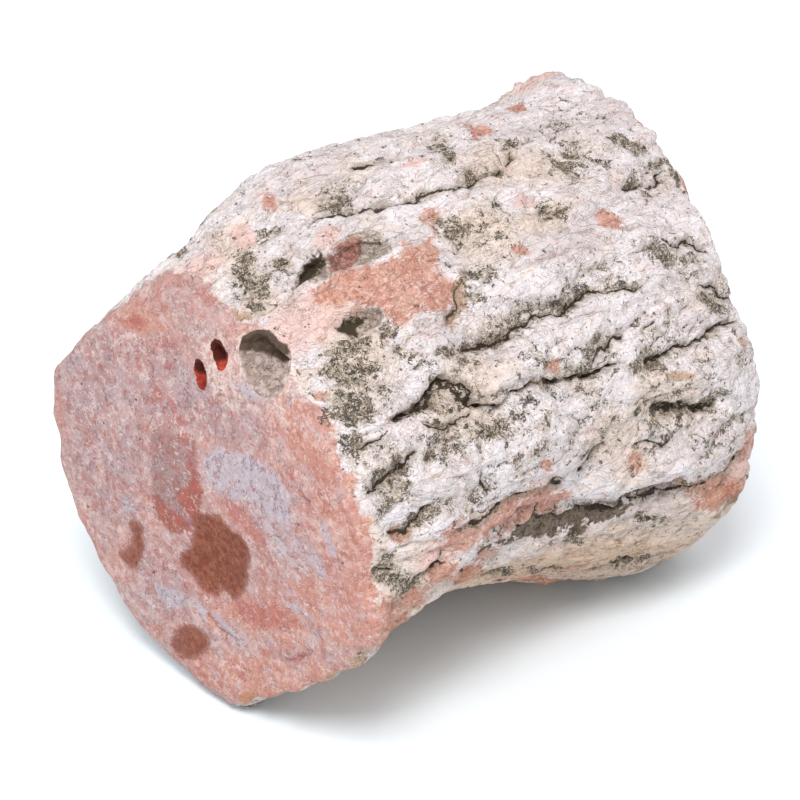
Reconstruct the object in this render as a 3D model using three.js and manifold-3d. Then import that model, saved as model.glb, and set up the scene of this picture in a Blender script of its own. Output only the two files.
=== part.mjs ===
// A section of petrified log lying on its side: one piece of stone, with a bark surface of
// furrows, ledges and sockets between two broken ends. Millimetres, +Z up. The log runs along +Y
// from its near break to its far one, and stands on z = 0 at the middle of its footprint.
import * as THREE from "three";
import { mergeVertices } from "three/addons/utils/BufferGeometryUtils.js";
import Module from "manifold-3d";

const COLUMNS = 120; // steps round the log
const BARK_ROWS = 29; // steps along the bark
const BREAK_RINGS = 4; // steps from a break's rim to its middle

const MEAN_RADIUS = 43; // turns an angle on the bark into a length round it
const FLOOR = -44.2; // the underside is worn flat here, measured from the log's axis
const NEAR_EDGE = 1.2; // how far the bark rounds over into each break
const FAR_EDGE = 6;
const LEDGE_FACE = 1.3; // half the width over which a ledge drops

// The bark's radius at seven even stations from the near break to the far one. Each row goes
// round the log in steps of 30 degrees, from the top towards +X.
const BARK_RADII = [
  [34.5, 34.5, 38.0, 39.0, 39.5, 38.0, 42.4, 43.4, 43.0, 43.6, 38.8, 37.5],
  [39.5, 38.5, 41.0, 41.0, 35.5, 31.5, 38.5, 42.0, 43.0, 44.0, 39.5, 42.5],
  [43.5, 42.5, 43.0, 42.0, 36.0, 32.5, 38.0, 42.0, 43.0, 44.5, 45.5, 47.5],
  [45.0, 44.5, 44.0, 42.5, 39.5, 37.0, 40.0, 43.0, 44.0, 45.0, 45.0, 45.0],
  [44.0, 45.0, 45.0, 44.5, 44.0, 44.5, 44.5, 44.5, 44.5, 45.0, 45.0, 43.0],
  [42.5, 44.0, 45.5, 47.0, 48.0, 48.5, 46.5, 46.0, 45.0, 45.0, 43.5, 41.0],
  [41.0, 41.5, 43.5, 45.5, 46.5, 47.0, 46.0, 44.5, 43.5, 43.0, 42.5, 41.5],
];

// How far along +Y the rim of each break lies, round the log in the same steps.
const NEAR_RIM = [2, 2, 0, 0, 0, 0, 0, 0, 0, 0, 0, 2];
const FAR_RIM = [106, 99, 94, 95, 97, 102, 103, 100, 101, 104, 108, 111];
const NEAR_MIDDLE = new THREE.Vector3(0, -0.6, 0);
const FAR_MIDDLE = new THREE.Vector3(0, 101, 0);

// Furrows along the grain. A path's points are [y, degrees from the top towards +X]. A furrow is
// cut to its depth over its width. Where it has a drop, it is a ledge: the bark above it stands
// out by its lip, and the bark below it starts that much deeper and comes back over its run.
const FURROWS = {
  long_crack: {
    path: [[12, 55], [17, 54], [23, 51], [27, 57], [31, 62], [39, 60], [49, 64], [57, 65]],
    width: 1.6, depth: 2.2, lip: 1.0, drop: 1.6, run: 5,
  },
  middle_valley: { path: [[27, 48], [34, 46], [42, 48], [58, 49], [70, 50]], width: 2.6, depth: 1.8 },
  scar_step: { path: [[38, 31], [33, 36], [31, 41]], width: 1.6, depth: 1.6 },
  side_crack: { path: [[57, 65], [65, 68], [74, 68], [89, 69]], width: 1.8, depth: 2.0, lip: 0.6 },
  side_branch: { path: [[55, 61], [63, 59], [72, 58]], width: 1.6, depth: 1.2 },
  side_hollow: { path: [[60, 80], [65, 79], [73, 83], [83, 86]], width: 2.4, depth: 2.8 },
  hollow_foot: { path: [[57, 85], [62, 87], [71, 87]], width: 1.6, depth: 1.2 },
  small_ledge: {
    path: [[19, 91], [27, 86], [32, 84], [40, 86], [46, 88], [51, 84], [58, 77]],
    width: 1.6, depth: 1.0, lip: 0.8, drop: 1.8, run: 5,
  },
  great_ledge: {
    path: [[18, 104], [23, 97], [29, 92], [36, 91], [46, 95], [56, 99], [66, 100], [77, 102], [90, 99]],
    width: 1.8, depth: 1.6, lip: 1.4, drop: 5.0, run: 7,
  },
  rim_crack_high: { path: [[80, 44], [83, 48], [91, 50]], width: 1.8, depth: 1.6 },
  rim_crack_low: { path: [[76, 55], [85, 59], [92, 67]], width: 1.8, depth: 1.4 },
  shoulder_groove: { path: [[76, 29], [85, 31], [96, 27]], width: 2.0, depth: 1.6 },
  face_crack_high: { path: [[3, 58], [11, 56], [20, 52]], width: 1.7, depth: 1.6 },
  face_crack_middle: { path: [[2, 69], [8, 66], [15, 63]], width: 1.7, depth: 1.8 },
  face_crack_low: { path: [[3, 80], [10, 79], [17, 75]], width: 1.7, depth: 1.4 },
  crown_furrow: { path: [[22, -18], [41, -12], [64, -6], [84, -4]], width: 2.2, depth: 1.2 },
  crown_valley: { path: [[28, 0], [37, 4], [46, 10], [59, 12], [69, 14]], width: 2.2, depth: 1.5 },
  belly_furrow: { path: [[32, 158], [50, 163], [68, 158], [88, 163]], width: 2.2, depth: 1.6 },
  under_furrow: { path: [[10, 203], [30, 208], [54, 202], [80, 210], [97, 206]], width: 2.2, depth: 2.0 },
  back_crack: { path: [[14, 229], [40, 223], [66, 231], [94, 226]], width: 1.8, depth: 2.0, lip: 0.6 },
  back_ledge: {
    path: [[8, 250], [32, 257], [58, 249], [82, 258], [101, 254]],
    width: 1.8, depth: 1.2, lip: 1.0, drop: -3.2, run: 7,
  },
  back_valley: { path: [[20, 276], [46, 270], [72, 278]], width: 2.6, depth: 2.0 },
  back_ridge_foot: { path: [[6, 301], [26, 294], [50, 301], [78, 296], [105, 303]], width: 1.8, depth: 2.0 },
  back_shoulder: { path: [[34, 322], [58, 316], [86, 324]], width: 2.0, depth: 1.6 },
};

// Swellings, and hollows with a negative height: [y, degrees], reach along and round, height.
const SWELLINGS = {
  pink_boss: { at: [28, 23], reach: [9, 9], height: 2.4 },
  plate_under_boss: { at: [24, 41], reach: [6, 7], height: 1.6 },
  plate_above_long_crack: { at: [42, 55], reach: [11, 4], height: 1.2 },
  plate_below_long_crack: { at: [38, 72], reach: [12, 7], height: 1.4 },
  plate_at_middle: { at: [42, 38], reach: [10, 5], height: 1.0 },
  belly_plate: { at: [62, 114], reach: [20, 7], height: 1.6 },
  side_plate: { at: [78, 76], reach: [9, 4], height: 1.2 },
  crown_plate: { at: [50, 2], reach: [16, 6], height: 1.0 },
  crest_knob: { at: [104, -34], reach: [5, 8], height: 3.0 },
  crest_knob_small: { at: [99, -14], reach: [4.5, 6], height: 2.4 },
  shoulder_patch: { at: [74, 18], reach: [9, 6], height: -1.6 },
  brown_dimple: { at: [61, 27], reach: [4, 4], height: -1.6 },
  grey_dimple: { at: [43, 25], reach: [6, 6], height: -2.0 },
  crest_notch: { at: [2, -48], reach: [6, 8], height: -2.5 },
  crest_step: { at: [2, -31], reach: [6, 6], height: -2.0 },
  toe: { at: [0, 104], reach: [4, 5], height: 4.0 },
  heel: { at: [6, 174], reach: [7, 8], height: 3.2 },
  back_boss: { at: [36, 238], reach: [12, 8], height: 1.8 },
  back_dimple: { at: [62, 288], reach: [8, 7], height: -2.0 },
  back_plate: { at: [80, 268], reach: [12, 7], height: 1.6 },
};

// Sockets: a rough ellipsoid is cut out round a point on the surface, and turned in it by some
// degrees. On the near break "at" is [x, z] and half sizes are across, up and deep. On the bark
// "at" is [y, degrees] and half sizes are round the log, along it and deep.
const BREAK_SOCKETS = {
  knot_socket: { at: [12.0, 28.9], half: [4.7, 4.4, 7.5], turned: -10 },
  knot_socket_top: { at: [9.8, 31.0], half: [3.4, 3.7, 6.5], turned: 0 },
  red_slot_upper: { at: [1.3, 27.5], half: [1.8, 2.7, 4.0], turned: 14 },
  red_slot_lower: { at: [-3.5, 21.7], half: [1.6, 2.8, 3.8], turned: 4 },
};
const BARK_SOCKETS = {
  eye_scoop: { at: [24, 11.3], half: [3.0, 8.8, 2.0], turned: -15 },
  eye_hole: { at: [20, 9], half: [1.4, 3.2, 3.6], turned: -22 },
  boss_pit: { at: [18.5, 29], half: [2.1, 3.8, 3.0], turned: -14 },
  back_pit: { at: [52, 262], half: [2.6, 4.4, 3.4], turned: 10 },
  back_pit_small: { at: [24, 312], half: [2.0, 3.0, 2.6], turned: -20 },
};

// Ribs along the grain: how many there are round the log, their height, and how far and over
// what length of log their lines sway.
const RIBS = [
  { count: 27, height: 0.55, sway: 1.3, pitch: 61 },
  { count: 11, height: 0.5, sway: 1.8, pitch: 83 },
];

const radians = THREE.MathUtils.degToRad;
const { clamp, lerp, smoothstep } = THREE.MathUtils;
const wrap = THREE.MathUtils.euclideanModulo;

// Catmull-Rom from b to c.
function spline(a, b, c, d, f) {
  return b + 0.5 * f * (c - a + f * (2 * a - 5 * b + 4 * c - d + f * (3 * (b - c) + d - a)));
}

function aroundLog(values, degrees) {
  const steps = (wrap(degrees, 360) / 360) * values.length;
  const i = Math.floor(steps);
  const at = (k) => values[wrap(i + k, values.length)];
  return spline(at(-1), at(0), at(1), at(2), steps - i);
}

function smoothRadius(along, degrees) {
  const last = BARK_RADII.length - 1;
  const i = Math.min(Math.floor(along * last), last - 1);
  const at = (k) => aroundLog(BARK_RADII[clamp(i + k, 0, last)], degrees);
  return spline(at(-1), at(0), at(1), at(2), along * last - i);
}

// The difference between two angles as a length round the bark, shortest way.
function arc(degrees, from) {
  return radians(wrap(degrees - from + 180, 360) - 180) * MEAN_RADIUS;
}

// The nearest point of a path: its distance, which side of the path we are on (1 towards
// growing angles), and how far along the path it is, from 0 to 1.
function nearest(path, y, degrees) {
  let best = { distance: Infinity, side: 1, along: 0 };
  for (let i = 0; i + 1 < path.length; i++) {
    const [[y0, a0], [y1, a1]] = [path[i], path[i + 1]];
    const step = new THREE.Vector2(y1 - y0, arc(a1, a0));
    const here = new THREE.Vector2(y - y0, arc(degrees, a0));
    const f = clamp(here.dot(step) / step.lengthSq(), 0, 1);
    const distance = here.distanceTo(step.clone().multiplyScalar(f));
    if (distance < best.distance)
      best = { distance, side: Math.sign(step.cross(here)) || 1, along: (i + f) / (path.length - 1) };
  }
  return best;
}

function furrowRelief({ path, width, depth, lip = 0, drop = 0, run = 1 }, y, degrees) {
  const { distance, side, along } = nearest(path, y, degrees);
  const fade = Math.min(1, 5 * along, 5 * (1 - along));
  const groove = -depth * Math.exp(-((distance / width) ** 2));
  const high = lip * Math.exp(-((distance / (2.5 * width)) ** 2));
  const low = -Math.abs(drop) * Math.exp(-distance / run);
  const below = smoothstep(side * Math.sign(drop || 1) * distance, -LEDGE_FACE, LEDGE_FACE);
  return fade * (groove + lerp(high, low, below));
}

function swellingRelief({ at, reach, height }, y, degrees) {
  const [u, v] = [(y - at[0]) / reach[0], arc(degrees, at[1]) / reach[1]];
  return height * Math.exp(-(u * u + v * v));
}

// Each set of ribs is strong in some places and faint in others.
function grain(y, degrees) {
  const a = radians(degrees);
  let sum = 0;
  for (const { count, height, sway, pitch } of RIBS) {
    const turn = (2 * Math.PI * y) / pitch;
    const strength = 0.6 + 0.4 * Math.sin(3 * a + 2 * turn);
    sum += height * strength * Math.sin(count * a + sway * Math.sin(turn + count));
  }
  return sum;
}

function relief(y, degrees) {
  let sum = grain(y, degrees);
  for (const furrow of Object.values(FURROWS)) sum += furrowRelief(furrow, y, degrees);
  for (const swelling of Object.values(SWELLINGS)) sum += swellingRelief(swelling, y, degrees);
  return sum;
}

// How much radius the bark loses at a distance from a rim, to round over its edge.
function roundOver(distance, edge) {
  return distance >= edge ? 0 : edge * (1 - Math.sqrt(1 - (1 - distance / edge) ** 2));
}

// Radii are measured from the log's axis, and the floor wears the underside flat.
function onLog(radius, y, degrees) {
  const a = radians(degrees);
  return new THREE.Vector3(radius * Math.sin(a), y, Math.max(radius * Math.cos(a), FLOOR));
}

function barkPoint(along, degrees) {
  const start = aroundLog(NEAR_RIM, degrees);
  const end = aroundLog(FAR_RIM, degrees);
  const y = lerp(start, end, along);
  const edges = roundOver(y - start, NEAR_EDGE) + roundOver(end - y, FAR_EDGE);
  return onLog(smoothRadius(along, degrees) + relief(y, degrees) - edges, y, degrees);
}

// A break is nearly flat: it runs straight from its rim to its middle, with a low swell.
function breakPoint(middle, along, share, degrees) {
  const swell = 0.8 * Math.sin(Math.PI * share) * Math.sin(2 * radians(degrees) + 4 * share);
  const point = middle.clone().lerp(barkPoint(along, degrees), share);
  point.y += swell;
  return point;
}

function closedLog() {
  const positions = [];
  const triangles = [];
  const add = (point) => positions.push(...point.toArray()) / 3 - 1;
  const ring = (pointAt) =>
    Array.from({ length: COLUMNS }, (_, i) => add(pointAt((360 * i) / COLUMNS)));
  const rings = [];
  for (let k = 1; k < BREAK_RINGS; k++)
    rings.push(ring((degrees) => breakPoint(NEAR_MIDDLE, 0, k / BREAK_RINGS, degrees)));
  for (let k = 0; k <= BARK_ROWS; k++)
    rings.push(ring((degrees) => barkPoint(k / BARK_ROWS, degrees)));
  for (let k = BREAK_RINGS - 1; k > 0; k--)
    rings.push(ring((degrees) => breakPoint(FAR_MIDDLE, 1, k / BREAK_RINGS, degrees)));
  const near = add(NEAR_MIDDLE);
  const far = add(FAR_MIDDLE);
  for (let i = 0; i < COLUMNS; i++) {
    const j = (i + 1) % COLUMNS;
    triangles.push(near, rings[0][j], rings[0][i], far, rings.at(-1)[i], rings.at(-1)[j]);
    for (let k = 0; k + 1 < rings.length; k++) {
      const [a, b] = [rings[k], rings[k + 1]];
      triangles.push(a[i], b[j], b[i], a[i], a[j], b[j]);
    }
  }
  return new THREE.BufferGeometry()
    .setAttribute("position", new THREE.Float32BufferAttribute(positions, 3))
    .setIndex(triangles);
}

// A rough ellipsoid. Its depth runs along "out", its second size along "up" before it is turned.
function socketGeometry({ half, turned }, centre, out, up) {
  const geometry = new THREE.SphereGeometry(1, 11, 8);
  const position = geometry.getAttribute("position");
  const p = new THREE.Vector3();
  for (let i = 0; i < position.count; i++) {
    p.fromBufferAttribute(position, i);
    const rough = 1 + 0.09 * Math.sin(5 * p.x + 3 * p.z) + 0.07 * Math.sin(7 * p.y - 2 * p.x);
    position.setXYZ(i, ...p.multiplyScalar(rough).toArray());
  }
  const across = new THREE.Vector3().crossVectors(up, out);
  const place = new THREE.Matrix4().makeBasis(across, up, out).setPosition(centre);
  place.multiply(new THREE.Matrix4().makeRotationZ(radians(turned)));
  place.multiply(new THREE.Matrix4().makeScale(...half));
  return geometry.applyMatrix4(place);
}

const wasm = await Module();
wasm.setup();

function solid(geometry) {
  const bare = geometry.clone();
  bare.deleteAttribute("normal");
  bare.deleteAttribute("uv");
  const merged = mergeVertices(bare, 1e-4);
  return new wasm.Manifold(
    new wasm.Mesh({
      numProp: 3,
      vertProperties: merged.getAttribute("position").array,
      triVerts: new Uint32Array(merged.index.array),
    }),
  );
}

function geometryOf(manifold) {
  const mesh = manifold.getMesh();
  return new THREE.BufferGeometry()
    .setAttribute("position", new THREE.Float32BufferAttribute(mesh.vertProperties, 3))
    .setIndex(Array.from(mesh.triVerts));
}

function cutSockets(log) {
  const alongLog = new THREE.Vector3(0, 1, 0);
  for (const socket of Object.values(BREAK_SOCKETS)) {
    const centre = new THREE.Vector3(socket.at[0], 0, socket.at[1]);
    const out = new THREE.Vector3(0, -1, 0);
    log = log.subtract(solid(socketGeometry(socket, centre, out, new THREE.Vector3(0, 0, 1))));
  }
  for (const socket of Object.values(BARK_SOCKETS)) {
    const [y, degrees] = socket.at;
    const start = aroundLog(NEAR_RIM, degrees);
    const centre = barkPoint((y - start) / (aroundLog(FAR_RIM, degrees) - start), degrees);
    const out = new THREE.Vector3(Math.sin(radians(degrees)), 0, Math.cos(radians(degrees)));
    log = log.subtract(solid(socketGeometry(socket, centre, out, alongLog)));
  }
  return log;
}

function petrifiedLog() {
  const geometry = geometryOf(cutSockets(solid(closedLog())));
  geometry.computeBoundingBox();
  const middle = geometry.boundingBox.getCenter(new THREE.Vector3());
  geometry.translate(-middle.x, -middle.y, -geometry.boundingBox.min.z);
  geometry.computeVertexNormals();
  const stone = new THREE.MeshStandardMaterial({ color: 0xd9c4c0, roughness: 0.9, metalness: 0 });
  const mesh = new THREE.Mesh(geometry, stone);
  mesh.name = "petrified_log";
  return mesh;
}

const part = new THREE.Group();
part.add(petrifiedLog());
export default part;
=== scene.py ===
"""The looks of the petrified log: one fine mesh of stone, on a pale floor in soft light.

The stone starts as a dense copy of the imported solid, is given the relief that the solid is too
coarse for, and replaces it. Lengths are in millimetres. A place on the bark is (y, degrees): y
along the log from its near break, and degrees round it from the top towards +X. A place on a
break is (x, z) from the log's axis.
"""

import math
import random

import bpy
import numpy as np
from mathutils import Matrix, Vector, noise


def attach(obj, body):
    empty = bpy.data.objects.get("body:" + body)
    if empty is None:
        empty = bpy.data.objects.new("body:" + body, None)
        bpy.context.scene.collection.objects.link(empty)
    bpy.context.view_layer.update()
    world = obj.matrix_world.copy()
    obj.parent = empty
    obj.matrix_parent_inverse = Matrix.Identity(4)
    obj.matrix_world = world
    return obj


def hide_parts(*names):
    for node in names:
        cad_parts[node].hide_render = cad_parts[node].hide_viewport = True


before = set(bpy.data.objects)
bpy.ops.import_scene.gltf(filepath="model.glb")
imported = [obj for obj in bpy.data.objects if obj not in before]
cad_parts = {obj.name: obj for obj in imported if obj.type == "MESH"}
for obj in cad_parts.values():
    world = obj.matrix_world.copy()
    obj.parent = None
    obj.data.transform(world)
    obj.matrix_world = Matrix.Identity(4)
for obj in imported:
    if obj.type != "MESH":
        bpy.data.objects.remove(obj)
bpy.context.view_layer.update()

MM = 0.001
AXIS = np.array((-0.36, -54.93, 44.2))  # the log's axis at its near break, in the shared frame
MEAN_RADIUS = 43.0  # turns an angle on the bark into a length round it
FINE_VOXEL = 0.5  # grid of the dense mesh
VOXEL = FINE_VOXEL
MOST_TRIANGLES = 190_000
SOFTENINGS = 14  # rounds that take the facets off, at the fine grid
END_FADE = 2.5  # length over which a crack or ledge runs out

# A break is where the stone faces along the log, and lies near that end of it.
FACES_ALONG = (0.55, 0.85)
NEAR_END = (16, 10)
FAR_END = (84, 90)

# The far break is the near one turned half round and moved, so that it doesn't look the same.
FAR_TURN, FAR_SHIFT = (-1, 1, 1), (4, 0, -6)

# Where the photo doesn't show the log, along it and round it.
HIDDEN_ALONG = (4, 100)
HIDDEN_DEGREES = (144, 318)

# Floor, light and camera. Directions are azimuth from -Y towards +X, and elevation.
FLOOR_SIDE = 8000
FLOOR_COLOUR = (0.9, 0.96, 1.0, 1)
SKY_STRENGTH = 0.85
LIGHT_DIRECTION = (38, 54)
LIGHT_DISTANCE = 1150
LIGHT_AIM = (0, 0, 40)
LIGHT_SIZE = 360
LIGHT_POWER = 8.8  # watts
PHOTO_DIRECTION = (45, 30)
CAMERA_LENS = 150
CAMERA_DISTANCE = 600
CAMERA_AIM = AXIS + (0, 46, 0)

# ---------------- the bark's lines and patches

# Cracks: a path, the width and depth of its cut, and how dark its dirt and painted shade are.
CRACKS = {
    "long_crack": (
        [(12, 55), (15, 55), (19, 54), (21, 52), (24, 51), (27, 54), (28, 59.5), (32, 62.5), (36, 61),
         (40, 60.4), (45, 62.6), (49, 64.6), (60, 65.5)], 0.55, 1.7, 1.0),
    "long_crack_loop": ([(16, 57), (18, 60), (21, 62), (24, 61), (28, 60)], 0.5, 0.9, 0.8),
    "middle_valley": (
        [(30, 48), (39, 48), (50, 48), (53, 48), (60, 49), (65, 51), (70, 52)], 0.55, 1.0, 0.6),
    "side_branch_low": ([(52, 63), (59, 61), (64, 59)], 0.5, 1.1, 0.8),
    "side_branch_high": ([(66, 62), (71, 59)], 0.4, 0.8, 0.8),
    "side_crack": ([(64, 68), (71, 69), (77, 69), (85, 68), (90, 69)], 0.6, 1.3, 0.9),
    "slanting_crack": ([(47, 88), (51, 86), (53, 82), (55, 78), (56, 75)], 0.5, 1.1, 0.8),
    "hollow_foot": ([(59, 87), (64, 87), (67, 90), (70, 88)], 0.4, 0.9, 0.7),
    "side_hollow": ([(65, 81.5), (67, 80.5), (71, 82), (76, 84), (81, 86)], 0.9, 1.4, 0.8),
    "rim_crack_high": ([(80, 43), (81, 47), (85, 47), (88, 50), (90, 53)], 0.7, 1.1, 0.8),
    "rim_crack_middle": ([(82, 57), (86, 59), (89, 64), (92, 67)], 0.5, 0.9, 0.7),
    "short_crack": ([(54, 71), (57, 70)], 0.4, 0.8, 0.8),
    "thin_crack": ([(23, 71), (25, 78), (25, 82)], 0.3, 0.5, 0.6),
    "crown_seam": (
        [(24, -2), (28, -3), (33, -1), (37, 4), (41, 6), (47, 8), (56, 11), (64, 10), (70, 8)],
        0.45, 1.0, 0.55),
    "crown_seam_high": ([(43, -14), (50, -9), (53, -1), (60, 1)], 0.5, 0.8, 0.7),
    "crown_slant": ([(64, 4), (65, 10)], 0.3, 0.6, 0.7),
    "shoulder_streak": ([(80, 28.5), (84, 30.5), (88, 31), (94, 28)], 0.6, 0.9, 0.8),
    "break_crack_high": ([(3, 57), (8, 58), (12, 56)], 0.5, 1.0, 0.8),
    "break_crack_middle": ([(2, 68), (5, 68), (10, 65), (15, 63)], 0.6, 1.2, 0.9),
    "break_crack_low": ([(4, 79), (8, 81), (11, 79), (15, 76)], 0.6, 0.9, 0.7),
    "toe_crack": ([(5, 104), (8, 98), (13, 94), (18, 95)], 0.7, 1.2, 0.9),
    "toe_line": ([(1, 87), (6, 90)], 0.4, 0.7, 0.8),
    "belly_line": ([(58, 131), (68, 132), (76, 133), (84, 136)], 0.5, 0.8, 0.7),
    "eye_slit": ([(14, 10), (16, 9.6), (19, 9.4), (22, 10)], 0.6, 1.2, 1.0),
    "scar_step": ([(38, 33), (35, 35), (33, 37), (30, 41)], 0.5, 1.0, 0.5),
    "under_seam": ([(12, 203), (30, 208), (54, 202), (80, 210), (97, 206)], 0.7, 1.4, 0.8),
    "under_seam_short": ([(24, 176), (46, 182), (62, 178)], 0.5, 0.9, 0.7),
    "back_crack": ([(14, 229), (27, 225), (40, 223), (66, 231), (94, 226)], 0.7, 1.5, 0.9),
    "back_valley": ([(20, 276), (33, 272), (46, 270), (60, 275), (72, 278)], 0.8, 1.3, 0.9),
    "back_ridge_foot": (
        [(6, 301), (16, 297), (26, 294), (50, 301), (78, 296), (105, 303)], 0.7, 1.4, 0.9),
    "back_shoulder": ([(34, 322), (46, 318), (58, 316), (86, 324)], 0.7, 1.1, 0.8),
    "back_slant": ([(44, 238), (50, 246), (60, 249)], 0.5, 1.0, 0.8),
    "back_slant_high": ([(74, 281), (80, 288), (90, 292)], 0.5, 0.9, 0.8),
    "back_thin": ([(12, 322), (22, 326), (30, 322)], 0.4, 0.7, 0.7),
}

# Ledges: a path, how far the bark above it overhangs, and the depth of the recess below it.
# Above is towards lower degrees, or towards higher ones where the recess is negative.
LEDGES = {
    "great_ledge": (
        [(20, 105), (24, 102), (28, 100), (32, 98), (40, 97), (47, 100), (55, 103), (62, 104)],
        3.4, 2.2),
    "great_ledge_far": ([(57, 103), (65, 104.4), (76, 106), (83, 104.6), (91, 100)], 1.8, 0.8),
    "small_ledge": (
        [(17, 84.5), (24, 85.5), (30, 84.5), (36, 84.8), (41, 85.6), (46, 88)], 0.5, 0.9),
    "long_crack_ledge": (
        [(13, 56), (20, 54), (24, 51), (28, 59), (32, 62), (36, 61), (40, 60.4), (45, 62.6), (59, 65.5)],
        1.0, 0.5),
    "back_ledge": ([(8, 250), (32, 257), (45, 252), (58, 249), (82, 258), (101, 254)], 2.4, -1.6),
}

# Patches on the bark: (y, degrees, half length, half width, lean). Lean turns the long way from
# along the log towards higher degrees.
LICHEN = [
    (35, -5, 4.5, 3.5, -30), (22, -11, 3, 2, -65), (12, -2.5, 7.5, 3, -63), (9, 5, 3.6, 2.2, -65),
    (17.5, 3, 4, 1.1, 80), (11, 38, 6, 3.6, 60), (7.5, 46, 5.5, 3.8, 60), (28, 47.5, 4, 1.6, 10),
    (20.5, 44.5, 3, 1.6, 40), (61, -6, 5, 2, -40), (56, 1, 4, 2, -40), (15, -34, 7, 0.9, -55),
    (59, 10, 5, 1.6, 10), (31, 49, 5, 2.6, -35), (76, 17, 5.5, 4.2, -10), (70, 5, 3, 1.8, -30),
    (44.5, 19.5, 4.5, 2.6, 60), (40, 33, 3.4, 1.6, 30), (93, 26, 3.4, 1.5, 15), (83, 30, 4, 1.2, 15),
    (63, 27, 3.4, 2.6, 50), (79, 49.5, 6.5, 3, 25), (84, 62, 4, 2, 30), (57, 48, 3, 1, 15),
    (66, 49.5, 4.4, 1.2, 20), (40, 47.5, 7, 2.2, 8), (55, 59.5, 5, 1.8, 15), (73, 61, 2, 1.5, -60),
    (66, 68, 6.5, 1.9, 10), (90, 18.5, 4, 2.2, -10), (20, 60, 3, 1.4, 20), (21, 65, 5.5, 2.6, 15),
    (27, 65, 5, 2.2, 15), (23, 55.5, 3, 1.8, 60), (6, 42, 3, 2.2, 60), (66, 86, 4, 1.2, 20),
    (79, 84, 4, 1.4, 15), (16, 34.5, 4.4, 1.8, 15), (21, 35, 2.4, 1.6, 10), (12.5, 79, 3.6, 2, -15),
    (8.5, 66, 5, 3, -60), (7, 73, 3, 1.6, -30), (4, 57, 3.4, 2.2, 70), (50, 62, 3.6, 1.6, 10),
    (38, 38, 2.4, 1.3, 50), (71, 84, 5, 2.2, 15), (4, 89, 4, 2, 80), (7, 96, 4.5, 2.2, 60),
    (95, 32, 3.5, 1.2, -75), (52, 111, 3.5, 1.6, 55), (68, 111, 3.5, 1.2, 20), (72, 133, 10, 1.2, 8),
    (50, 126, 9, 1.6, 25), (38, 120, 5, 1.8, 35), (53, 46.5, 3.5, 1.2, 10), (64, 82, 3.5, 2, 20),
    (17, 66, 3, 1.8, 15),
]
FAINT_LICHEN = [
    (48, 25, 8, 6.5, -30), (34, 76, 8, 3, 10), (76, 74, 6, 2.4, 20), (88, 62, 6, 4, 30),
    (88, 30, 8, 5, 0), (64, 90, 6, 2.4, 10), (50, 70, 6, 3, 20), (84, 4, 8, 4, 0), (48, 45, 8, 2, 10),
    (77, 16, 9, 7, 0), (12, 2, 9, 5, -63), (10, 43, 9, 6, 60), (20, 65, 9, 4, 25), (60, 45, 8, 3, 10),
    (22, 80, 7, 5, 10), (70, 65, 8, 4, 15), (80, 93, 9, 5, 10), (52, 80, 9, 5, 10), (36, 66, 8, 4, 10),
    (66, 76, 8, 4, 10), (90, 76, 8, 5, 0), (45, 56, 9, 3, 10),
]
# Recesses under the ledges, painted dark: painted shade, with dirt.
RECESS = [
    (45, 103, 13, 2.2, 10), (57, 106, 5, 1.2, 5), (32, 100.5, 6, 1.6, 0), (52, 108, 2.6, 1.8, 70),
]
SALMON = [
    (28, -18, 2, 1.6, -50), (43, 14, 2.5, 2, -30), (4, 40, 1.5, 1, -85), (72, -8, 2.6, 1.8, -25),
    (86, -13, 4, 1.6, -50), (72, 35, 2.6, 1.8, 50), (51, 33, 2, 1, 20), (44, 59, 2.4, 1.2, 35),
    (88, 74, 1.5, 0.8, 15), (20, 88, 5.5, 4, 15), (30, 90, 6, 5, 5), (38, 91, 6.4, 6, 5),
    (44.5, 95, 4, 3, 30), (16, 98.5, 5, 3.2, 45), (27, 110, 9, 3, 50), (4, 103, 6, 4.4, 75),
    (26, 103.5, 7, 2.6, 10), (8, 113, 9, 4.4, 60), (11, 103, 5, 2.6, 40), (2, 48, 3.4, 1.8, -85),
    (1, 65, 3, 1, -85), (1, 77, 4, 0.9, -85), (1, 92, 4, 1, -85), (2, 75, 1.6, 1, -85),
    (61, 91, 2.2, 1.8, 25), (38, 79, 1.4, 0.8, 25), (83, 110, 9, 3.4, 20), (89, 101, 4, 1.8, 60),
    (58, 142, 8, 3, 30), (7, 81, 2, 1.2, 25),
]
PINK_BLUSH = [
    (19, -15, 4, 2.5, -55), (49, 0, 3, 1.4, 0), (104, -30, 5, 6, 0), (60, 22, 3, 1, 0),
    (90, 104, 8, 5, 20), (12, 20, 7, 7, 0), (5, 20, 5, 5, 0), (26, 4, 3, 2, 0), (8, -17, 6, 5, 0),
    (50, 128, 12, 3, 10), (14, 92, 5, 4, 30),
]
OCHRE = [
    (36, 35, 4.2, 1.1, -55), (70, 73, 3.6, 0.6, 15), (42, 61, 3.4, 0.8, 25), (5, 4, 3.6, 0.8, 80),
    (2, 156, 8, 2.4, 80), (92, 99, 2.5, 1.6, 50), (2, 126, 18, 2.4, 87), (74, 104, 10, 0.5, 5),
]
CREAM = [
    (15, -13, 8.5, 4.5, -65), (9, 7, 5, 3.5, -70), (30, -9, 4.5, 3, -80), (15, 23, 4, 3.5, -80),
    (3, 32, 4, 2.5, 55), (2, 85, 8.5, 3, 90), (14, 34, 10, 5.5, -60), (26, 57, 9, 6, -20),
    (53, 123, 30, 6.5, 10), (47, 25, 7, 6.5, -85), (67, 78, 10, 5, 40), (57, 84, 11, 5, 55),
    (66, 12, 11, 6, 20), (60, 28, 8, 3, 0), (10, 96, 12, 8, 50), (70, 77, 7, 3, 25),
]

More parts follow.
